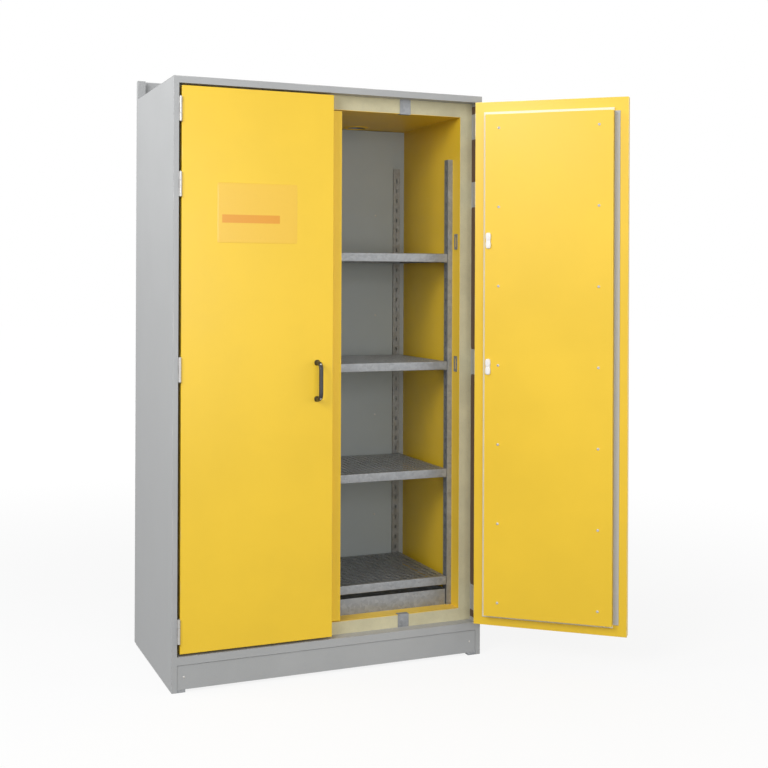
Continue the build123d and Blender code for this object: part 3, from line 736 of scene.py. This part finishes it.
class CABINET_OT_casing(bpy.types.Operator):
    """Silver-grey powder coat on the casing's sheets"""

    bl_idname = "cabinet.casing"
    bl_label = "Casing"

    def execute(self, context):
        colour = context.scene.cabinet_finish.casing
        box = (cad("side_panel_left")[0], cad("side_panel_right")[1])
        coat = powder_coat("Silver_grey_powder_coat", colour, 0.42, box, wear=0.55, dust=0.16)
        dress(coat, "side_panel_left", "side_panel_right", "top_panel", "back_panel",
              "bottom_rail", "plinth_panel")
        spacer = powder_coat("Spacer_powder_coat", colour, 0.44, cad("rear_spacer"))
        dress(spacer, "rear_spacer")
        return {"FINISHED"}


class CABINET_OT_boards(bpy.types.Operator):
    """Bare fire boards in the casing and the doors"""

    bl_idname = "cabinet.boards"
    bl_label = "Fire boards"

    def execute(self, context):
        board = fibre_board("Fire_board", context.scene.cabinet_finish.board)
        parts = ("left", "right", "floor", "top", "back")
        dress(board, *(f"insulation_{part}" for part in parts),
              *(f"door_core_{side}" for side in SIDES))
        return {"FINISHED"}


class CABINET_OT_lining(bpy.types.Operator):
    """Yellow side sheets, grey back sheet and duct panel"""

    bl_idname = "cabinet.lining"
    bl_label = "Lining"

    def execute(self, context):
        colours = context.scene.cabinet_finish
        box = (cad("liner_left")[0], cad("liner_right")[1])
        yellow = powder_coat("Yellow_lining_coat", colours.yellow, 0.4, box, wear=0.25, dust=0.2)
        dress(yellow, "liner_left", "liner_right", "liner_floor", "liner_ceiling")
        box = cad("duct_panel")
        grey = powder_coat("Grey_lining_coat", colours.lining, 0.45, box, wear=0.3, dust=0.2)
        dress(grey, "liner_back", "duct_panel")
        return {"FINISHED"}


class CABINET_OT_steelwork(bpy.types.Operator):
    """Galvanised uprights, clips, tray, straps, keepers, collar, feet and floor pan"""

    bl_idname = "cabinet.steelwork"
    bl_label = "Steelwork"

    def execute(self, context):
        colours = context.scene.cabinet_finish
        zinc = galvanised("Galvanised_sheet", colours.zinc)
        dress(zinc, "spill_tray", "base_pan", "exhaust_spigot", "board_straps", "shelf_clips",
              "catch_keepers", "feet",
              *(f"upright_{row}_{side}" for row in ("front", "rear") for side in SIDES))
        plated = galvanised("Zinc_plating", colours.fastener, 400.0, dust=0.05, spread=0.08)
        parts = ("frame_hinge_leaves", "door_hinge_leaves", "hinge_pins")
        dress(plated, *(f"{part}_{side}" for part in parts for side in SIDES))
        return {"FINISHED"}


class CABINET_OT_shelves(bpy.types.Operator):
    """Four shelves with finely pierced decks and hemmed lips"""

    bl_idname = "cabinet.shelves"
    bl_label = "Shelves"

    def execute(self, context):
        detail = context.scene.cabinet_detail
        sheet, hem, margin = detail.deck_sheet, detail.shelf_hem, detail.deck_margin
        bend, low_bend = detail.shelf_bend, 0.8 * detail.shelf_bend
        inner, low_inner = bend - sheet, low_bend - sheet
        zinc = galvanised("Galvanised_shelf", context.scene.cabinet_finish.zinc, 120.0, dust=0.06)
        names = sorted(name for name in NODES if name.startswith("shelf_") and name[-1].isdigit())
        arc = np.linspace(0, math.pi / 2, 6)
        c, s = np.cos(arc), np.sin(arc)
        for name in names:
            low, high = cad(name)
            base, top = low[2], high[2]
            # The profile runs over the bend, down the lip, round the hem and back up inside.
            profile = np.concatenate([
                np.c_[bend - bend * s, top - bend + bend * c],
                np.c_[low_bend - low_bend * c, base + low_bend - low_bend * s],
                [(hem, base), (hem, base + sheet)],
                np.c_[low_bend - low_inner * s, base + low_bend - low_inner * c],
                np.c_[bend - inner * c, top - bend + inner * s],
                [(margin, top - sheet), (margin, top)],
            ])
            lip = boxed_profile(low, high, profile)
            border = np.array((margin, margin, 0))
            deck = pierced_sheet(low + border, high - border, sheet, detail.deck_pitch,
                                 detail.deck_opening)
            finished(f"{name}_pierced", [lip, deck], "cabinet", zinc, [name],
                     sharp=35)
        return {"FINISHED"}


class CABINET_OT_doors(bpy.types.Operator):
    """Yellow powder coat on the doors' skins and inner boxes, and the grey strip"""

    bl_idname = "cabinet.doors"
    bl_label = "Doors"

    def execute(self, context):
        colours = context.scene.cabinet_finish
        coats = (("door_skin", "Yellow_door_coat", 0.34, 0.35),
                 ("door_inner_box", "Yellow_inner_coat", 0.38, 0.25))
        for side in SIDES:
            for part, name, roughness, wear in coats:
                coat = powder_coat(f"{name}_{side}", colours.yellow, roughness,
                                   pattern_box(part, side), side, wear, drift=0.03,
                                   bare=(0.5, 0.42, 0.25))
                dress(coat, f"{part}_{side}")
        strip = moulded("Grey_swelling_strip", colours.strip, 0.6, 700.0, 0.2, (0.6, 0.6, 0.6))
        dress(strip, "door_seal_strip")
        return {"FINISHED"}


class CABINET_OT_frame_strips(bpy.types.Operator):
    """Thin dark strips on the folds of the casing that face the doors' edges, their dark colour
    painted shade of the narrow gap there
    """

    bl_idname = "cabinet.frame_strips"
    bl_label = "Frame strips"

    def execute(self, context):
        colour = context.scene.cabinet_finish.frame_strip_gap_shade
        # The strips' dark colour is painted shade of the narrow gap between each fold and the
        # door's edge.
        painted_gap_shade = moulded("Dark_swelling_strip", colour, 0.7, 700.0, 0.2, (0.2, 0.14, 0.1))
        thick = context.scene.cabinet_detail.strip_sheet
        skin_low, skin_high = cad("door_skin_left")
        hardware = ("frame_hinge_leaves", "door_hinge_leaves", "hinge_pins")
        shapes = []
        for side, inward in (("left", 1), ("right", -1)):
            low, high = cad(f"side_panel_{side}")
            fold = high[0] if side == "left" else low[0]
            front = low[1] + STRIP_FRONT_GAP
            back = cad(f"insulation_{side}")[0][1] - STRIP_BACK_GAP
            rows = [node_points(f"{part}_{side}")[:, 2] for part in hardware]
            heights = np.sort(np.concatenate(rows))
            # A longer rise between neighbouring corners lies free between two hinges.
            gaps = np.flatnonzero(np.diff(heights) > FREE_LENGTH)
            runs = [(skin_low[2], heights[0]), *zip(heights[gaps], heights[gaps + 1]),
                    (heights[-1], skin_high[2])]
            for base, top in runs:
                half_wide, half_tall = (back - front) / 2, (top - base) / 2 - STRIP_END_GAP
                pad, faces = domed_pad(half_wide, half_tall, thick, edge=0.08, outline=40.0,
                                       rings=4, sectors=64)
                middle = np.array((fold, (front + back) / 2, (base + top) / 2))
                turned_in = np.stack([inward * pad[:, 2], pad[:, 0], pad[:, 1]], 1)
                shapes.append((middle + turned_in, faces))
        finished("frame_swelling_strips", shapes, "cabinet", painted_gap_shade)
        return {"FINISHED"}


class CABINET_OT_seals(bpy.types.Operator):
    """Two-lipped soft seals on three sides of each inner box"""

    bl_idname = "cabinet.seals"
    bl_label = "Seals"

    def execute(self, context):
        colour = context.scene.cabinet_finish.seal
        rubber = moulded("Cream_seal", colour, 0.55, 900.0, 0.15, (0.6, 0.55, 0.42))
        for side in SIDES:
            low, high = door_box("door_gasket", side)
            half = (high[2] - door_box("door_inner_box", side)[1][2]) / 2
            rise = high[1] - low[1]
            # Half an ellipse on a low foot, less a groove along its crown by a bell curve.
            angle = np.linspace(0, math.pi, 15)
            off = -0.94 * half * np.cos(angle)
            groove = 1 - 0.38 * np.exp(-((off / (0.28 * half)) ** 2))
            up = rise * (0.16 + 0.84 * np.sin(angle) ** 0.7 * groove)
            off = np.concatenate([[-half], off, [half]])
            depth = low[1] + np.concatenate([[0], up, [0]])
            end, bend = np.full_like(off, high[0]), low[0] + half - off
            over, under = high[2] - half + off, low[2] + half - off
            route = ((end, over), (bend, over), (bend, under), (end, under))
            corners = [np.stack([reach, depth, height], 1) for reach, height in route]
            caps = [np.repeat(corners[i].mean(0)[None], len(off), 0) for i in (0, 3)]
            points = np.stack([caps[0], *corners, caps[1]])
            faces = grid_faces(6, len(off), wrap_columns=True)
            door_finished("door_seal", side, [(points, faces)], rubber,
                          ["door_gasket"], sharp=50)
        return {"FINISHED"}


class CABINET_OT_catches(bpy.types.Operator):
    """White twin-boss catches on the hinge side of each inner box"""

    bl_idname = "cabinet.catches"
    bl_label = "Catches"

    def execute(self, context):
        colour = context.scene.cabinet_finish.white
        white = moulded("White_plastic", colour, 0.42, 1300.0, 0.1, (0.6, 0.58, 0.54))
        length = context.scene.cabinet_detail.catch_length
        for side in SIDES:
            low, high = door_box("door_catches", side)
            wide, tall = (high[0] - low[0]) / 2, high[1] - low[1]
            boss = domed_pad(wide, length * 0.247, tall, edge=0.3, outline=3.0)
            neck = domed_pad(wide * 0.86, length * 0.3, tall * 0.8, edge=0.25, outline=4.0)
            dimple_radius, dimple_rise, dimple_seat = wide * 0.32, tall * 0.12, tall * 0.9
            dimple = domed_pad(dimple_radius, dimple_radius, dimple_rise, edge=0.8, outline=2.0,
                               sectors=20)
            shapes = []
            for middle in (low[2] + length / 2, high[2] - length / 2):
                place = ((low[0] + high[0]) / 2, low[1], middle)
                for step in (-length / 4, length / 4):
                    for (points, faces), seat in ((boss, 0), (dimple, dimple_seat)):
                        shapes.append((stand_on_door(points, place) + (0, seat, step), faces))
                shapes.append((stand_on_door(neck[0], place), neck[1]))
            door_finished("door_catch_bosses", side, shapes, white,
                          ["door_catches"])
        return {"FINISHED"}


class CABINET_OT_fasteners(bpy.types.Operator):
    """Cross-recess screws on the inner boxes, and rivets on the plinth, the duct and the top"""

    bl_idname = "cabinet.fasteners"
    bl_label = "Fasteners"

    def execute(self, context):
        colour = context.scene.cabinet_finish.fastener
        steel = galvanised("Zinc_plated_fasteners", colour, 500.0, spread=0.08)
        turns = np.random.default_rng(7)
        radius = PANEL_SCREW_RADIUS
        for side in SIDES:
            low, high = door_box("door_screws", side)
            points, faces = screw_head(radius, high[1] - low[1])
            shapes = []
            for reach in (low[0] + radius, high[0] - radius):
                for height in np.linspace(low[2] + radius, high[2] - radius, PANEL_SCREW_ROWS):
                    a = turns.uniform(0, math.pi)
                    c, s = math.cos(a), math.sin(a)
                    spun = points @ np.array([[c, -s, 0], [s, c, 0], [0, 0, 1]]).T
                    shapes.append((stand_on_door(spun, (reach, low[1], height)), faces))
            door_finished("door_panel_screws", side, shapes, steel,
                          ["door_screws"], sharp=30)

        radius = RIVET_RADIUS
        dome, faces = domed_pad(radius, radius, RIVET_RISE, edge=0.9, outline=2.0, sectors=24)
        facing = np.stack([dome[:, 0], -dome[:, 2], dome[:, 1]], 1)
        low, high = cad("plinth_rivets")
        middle = (low[2] + high[2]) / 2
        plinth = [(x, low[1], middle) for x in (low[0] + radius, high[0] - radius)]
        low, high = cad("duct_rivets")
        rows = np.linspace(low[2] + radius, high[2] - radius, DUCT_RIVET_ROWS)
        duct = [(x, high[1], z) for x in (low[0] + radius, high[0] - radius) for z in rows]
        low, high = cad("top_panel")
        along, deep = TOP_RIVET_INSET
        columns = np.linspace(low[0] + along, high[0] - along, TOP_RIVET_COLUMNS)
        top = [(x, y, high[2]) for y in (low[1] + deep, high[1] - deep) for x in columns]
        rows = (("plinth_rivet_domes", facing, plinth, ["plinth_rivets"]),
                ("duct_rivet_domes", facing, duct, ["duct_rivets"]),
                ("top_panel_rivets", dome, top, []))
        for name, points, spots, nodes in rows:
            shapes = [repeat(points, faces, spots)]
            finished(name, shapes, "cabinet", steel, nodes)
        return {"FINISHED"}


class CABINET_OT_handles(bpy.types.Operator):
    """Bow handles that flare into round feet, with a screw in each bend"""

    bl_idname = "cabinet.handles"
    bl_label = "Handles"

    def execute(self, context):
        colours, detail = context.scene.cabinet_finish, context.scene.cabinet_detail
        black = moulded("Black_plastic", colours.black, 0.36, 1600.0, 0.05, (0.16, 0.16, 0.16))
        steel = galvanised("Handle_screws", colours.fastener, 500.0, spread=0.08)
        wide, thick, foot = detail.grip_width / 2, detail.grip_thickness / 2, detail.grip_foot / 2
        bend = detail.grip_bend
        for side in SIDES:
            low, high = door_box("handle", side)
            middle, face, reach = (low[2] + high[2]) / 2, high[1], (low[0] + high[0]) / 2
            half = (high[2] - low[2]) / 2 - foot
            crown = low[1] + thick
            corners = [(reach, face, middle - half), (reach, crown, middle - half),
                       (reach, crown, middle + half), (reach, face, middle + half)]
            rough = rounded_path(corners, bend, 16)
            run = np.r_[0, np.cumsum(np.linalg.norm(np.diff(rough, axis=0), axis=1))]
            along = np.linspace(0, run[-1], 90)
            path = np.stack([np.interp(along, run, rough[:, i]) for i in range(3)], 1)
            tangent = np.gradient(path, axis=0)
            tangent /= np.linalg.norm(tangent, axis=1)[:, None]
            across = np.repeat([(1.0, 0, 0)], len(path), 0)
            normal = np.cross(tangent, across)
            # The section grows toward each foot by a bell curve of the distance from the door.
            flare = np.exp(-((np.minimum(along, run[-1] - along) / FOOT_FLARE) ** 2))
            x, y = superellipse(np.linspace(0, 2 * math.pi, 28, endpoint=False), 2.6)
            half_wide = wide + (foot - wide) * flare
            half_thick = thick + (0.95 * foot - thick) * flare
            bow = carried(path, across, normal, half_wide[:, None] * x, half_thick[:, None] * y)
            door_finished("bow_handle", side, [bow], black,
                          ["handle", "handle_caps"], sharp=60)
            head, faces = screw_head(HANDLE_SCREW_RADIUS, HANDLE_SCREW_RISE)
            slope = math.sqrt(0.5)
            shapes = []
            for sign in (-1, 1):
                out = np.array((0, -slope, sign * slope))
                frame_of_head = np.stack([(1.0, 0, 0), np.cross(out, (1.0, 0, 0)), out])
                centre = np.array((reach, crown + bend, middle + sign * (half - bend)))
                place = centre + out * (bend + thick - HANDLE_SCREW_SINK)
                shapes.append((place + head @ frame_of_head, faces))
            door_finished("bow_handle_screws", side, shapes, steel, sharp=30)
        return {"FINISHED"}


class CABINET_OT_vent(bpy.types.Operator):
    """Yellow-coated ring with a rolled rim round the exhaust opening in the ceiling"""

    bl_idname = "cabinet.vent"
    bl_label = "Vent ring"

    def execute(self, context):
        low, high = box = cad("vent_ring")
        colour = context.scene.cabinet_finish.yellow
        coat = powder_coat("Yellow_vent_coat", colour, 0.42, box, wear=0.2)
        outer, deep = (high[0] - low[0]) / 2, high[2] - low[2]
        inner = outer - RING_WIDTH
        # A half-round rim at the outside, a shallow slope, and a half-round bead at the bore.
        t = np.linspace(0, math.pi / 2, 7)
        rim = np.c_[outer - deep * 0.5 + deep * 0.5 * np.cos(t), -deep * np.sin(t) * 0.8]
        bead = np.c_[inner + deep * 0.4 - deep * 0.4 * np.sin(t), -deep * np.cos(t)]
        profile = np.concatenate([[(outer, 0)], rim, bead, [(inner, 0)]])
        points, faces = turned(profile, 64, closed=True)
        centre = ((low[0] + high[0]) / 2, (low[1] + high[1]) / 2, high[2])
        finished("vent_rolled_ring", [(points + centre, faces)], "cabinet", coat,
                 ["vent_ring"])
        return {"FINISHED"}


class CABINET_OT_film(bpy.types.Operator):
    """Blank film with one plain band, in the place of a label on the left door"""

    bl_idname = "cabinet.film"
    bl_label = "Blank film"

    def execute(self, context):
        colours, detail = context.scene.cabinet_finish, context.scene.cabinet_detail
        low, high = door_box("door_skin", "left")
        middle = np.array((low[0] + FILM_FROM_HINGE, low[1], high[2] - FILM_FROM_TOP))
        shift = np.array((*hinge("left")[0], 0.0))
        band_low, band_high = (middle + corner + shift for corner in BAND_CORNERS)
        sheet = banded_film("Blank_banded_film", colours.film, colours.band, band_low, band_high)
        pad, faces = domed_pad(detail.film_width / 2, detail.film_height / 2, FILM_THICKNESS,
                               edge=0.06, outline=80.0, rings=4, sectors=128)
        outward = np.stack([pad[:, 0], -pad[:, 2], pad[:, 1]], 1) + middle
        finished("door_blank_film", [(on_door("left", outward), faces)], "left_door",
                 sheet, sharp=60)
        return {"FINISHED"}


class CABINET_OT_stage(bpy.types.Operator):
    """Pale floor, white surround, soft lamps and the camera"""

    bl_idname = "cabinet.stage"
    bl_label = "Stage"

    def to_the_eye(self, tree, share):
        """The share for rays from the camera, reflections and glass, and none for others."""
        path = put(tree, "ShaderNodeLightPath").outputs
        seen = maths(tree, "MAXIMUM", path["Is Camera Ray"], path["Is Glossy Ray"])
        seen = maths(tree, "MAXIMUM", seen, path["Is Transmission Ray"])
        return times(tree, seen, share)

    def put_out(self, tree, output, share, lighting, seen):
        """The tree's output: one shader that lights, and by a share one for the eye."""
        shaders = {0: self.to_the_eye(tree, share), 1: lighting.outputs[0], 2: seen.outputs[0]}
        both = put(tree, "ShaderNodeMixShader", shaders)
        put(tree, output, {"Surface": both.outputs[0]})

    def floor(self):
        """A wide floor that is pale to the eye, carries the shadow and bounces little light."""
        reach = 30.0
        corners = np.array([(-1, -1, 0), (1, -1, 0), (1, 1, 0), (-1, 1, 0)]) * reach
        mesh = mesh_from("floor", corners, [(0, 1, 2, 3)])
        floor = linked("floor", mesh)
        material = bpy.data.materials.new("Pale_floor")
        tree = empty_tree(material)
        dull, pale = toned((0.24, 0.24, 0.24)), toned((0.8, 0.8, 0.8))
        tone = mixed(tree, self.to_the_eye(tree, 1.0), dull, pale)
        matt = put(tree, "ShaderNodeBsdfDiffuse", {"Color": tone})
        # The glow leaves room for the lamps near the cabinet, and grows outwards to plain white.
        spot = put(tree, "ShaderNodeTexCoord").outputs["Object"]
        away = put(tree, "ShaderNodeVectorMath", {0: spot}, operation="LENGTH").outputs["Value"]
        strength = ranged(tree, away, 1.2, 5.0, 0.995, 1.1)
        glow = put(tree, "ShaderNodeEmission", {"Color": (1, 1, 1, 1), "Strength": strength})
        self.put_out(tree, "ShaderNodeOutputMaterial", 0.86, matt, glow)
        mesh.materials.append(material)

    def surround(self, scene):
        """White all round: dim as a light, plain white to the eye."""
        scene.world = bpy.data.worlds.new("White_surround")
        tree = empty_tree(scene.world)
        dim, plain = (
            put(tree, "ShaderNodeBackground", {"Color": (1, 1, 1, 1), "Strength": strength})
            for strength in (scene.cabinet_stage.surround, 1.0))
        self.put_out(tree, "ShaderNodeOutputWorld", 1.0, dim, plain)

    def lamps(self, stage):
        """Square soft lamps, each with its place, the point that it looks at and its width."""
        places = {
            "key": ((-2.5, -2.3, 2.9), (0.5, 0.0, 1.5), 1.8),
            "front": ((0.2, -3.9, 1.5), (0.7, 0.4, 1.5), 1.6),
            "fill": ((3.6, -2.6, 1.6), (0.6, 0.1, 0.9), 2.2),
            "top": ((-1.4, 0.4, 2.9), (0.0, 0.2, 1.7), 1.2),
        }
        for name, (place, aim, size) in places.items():
            data = bpy.data.lights.new(f"{name}_lamp", "AREA")
            data.shape, data.size, data.energy = "SQUARE", size, getattr(stage, name)
            made = linked(f"{name}_lamp", data)
            made.location = place
            away = Vector(place) - Vector(aim)
            made.rotation_euler = away.to_track_quat("Z", "Y").to_euler()

    def execute(self, context):
        scene, stage = context.scene, context.scene.cabinet_stage
        scene.view_settings.view_transform = "Standard"
        self.floor()
        self.surround(scene)
        self.lamps(stage)
        data = bpy.data.cameras.new("camera")
        data.sensor_width, data.lens, data.shift_y = 36.0, stage.lens, stage.rise
        camera = linked("camera", data)
        camera.location = stage.camera_place
        camera.rotation_euler = (math.pi / 2, -stage.camera_roll, -stage.camera_turn)
        scene.camera = camera
        return {"FINISHED"}


OPERATORS = (
    CABINET_OT_stage,
    CABINET_OT_casing,
    CABINET_OT_boards,
    CABINET_OT_lining,
    CABINET_OT_steelwork,
    CABINET_OT_shelves,
    CABINET_OT_doors,
    CABINET_OT_frame_strips,
    CABINET_OT_seals,
    CABINET_OT_catches,
    CABINET_OT_fasteners,
    CABINET_OT_handles,
    CABINET_OT_vent,
    CABINET_OT_film,
)


class CABINET_PT_sidebar(bpy.types.Panel):
    """The cabinet's settings and operators"""

    bl_label = "Battery cabinet"
    bl_idname = "CABINET_PT_sidebar"
    bl_space_type = "VIEW_3D"
    bl_region_type = "UI"
    bl_category = "Cabinet"

    def draw(self, context):
        layout = self.layout
        for group in SETTINGS:
            settings = getattr(context.scene, group)
            for name in settings.__annotations__:
                layout.prop(settings, name)
        for operator in OPERATORS:
            layout.operator(operator.bl_idname)


SETTINGS = {
    "cabinet_finish": CabinetFinish,
    "cabinet_detail": CabinetDetail,
    "cabinet_stage": CabinetStage,
}


def register():
    """Adds the settings, the operators and the panel."""
    for name, group in SETTINGS.items():
        bpy.utils.register_class(group)
        setattr(bpy.types.Scene, name, bpy.props.PointerProperty(type=group))
    for item in (*OPERATORS, CABINET_PT_sidebar):
        bpy.utils.register_class(item)


def unregister():
    """Takes them away again."""
    for item in reversed((*OPERATORS, CABINET_PT_sidebar)):
        bpy.utils.unregister_class(item)
    for name, group in SETTINGS.items():
        delattr(bpy.types.Scene, name)
        bpy.utils.unregister_class(group)


def main():
    """Runs every operator in order."""
    register()
    for operator in OPERATORS:
        group, name = operator.bl_idname.split(".")
        getattr(getattr(bpy.ops, group), name)()


if __name__ == "__main__":
    main()
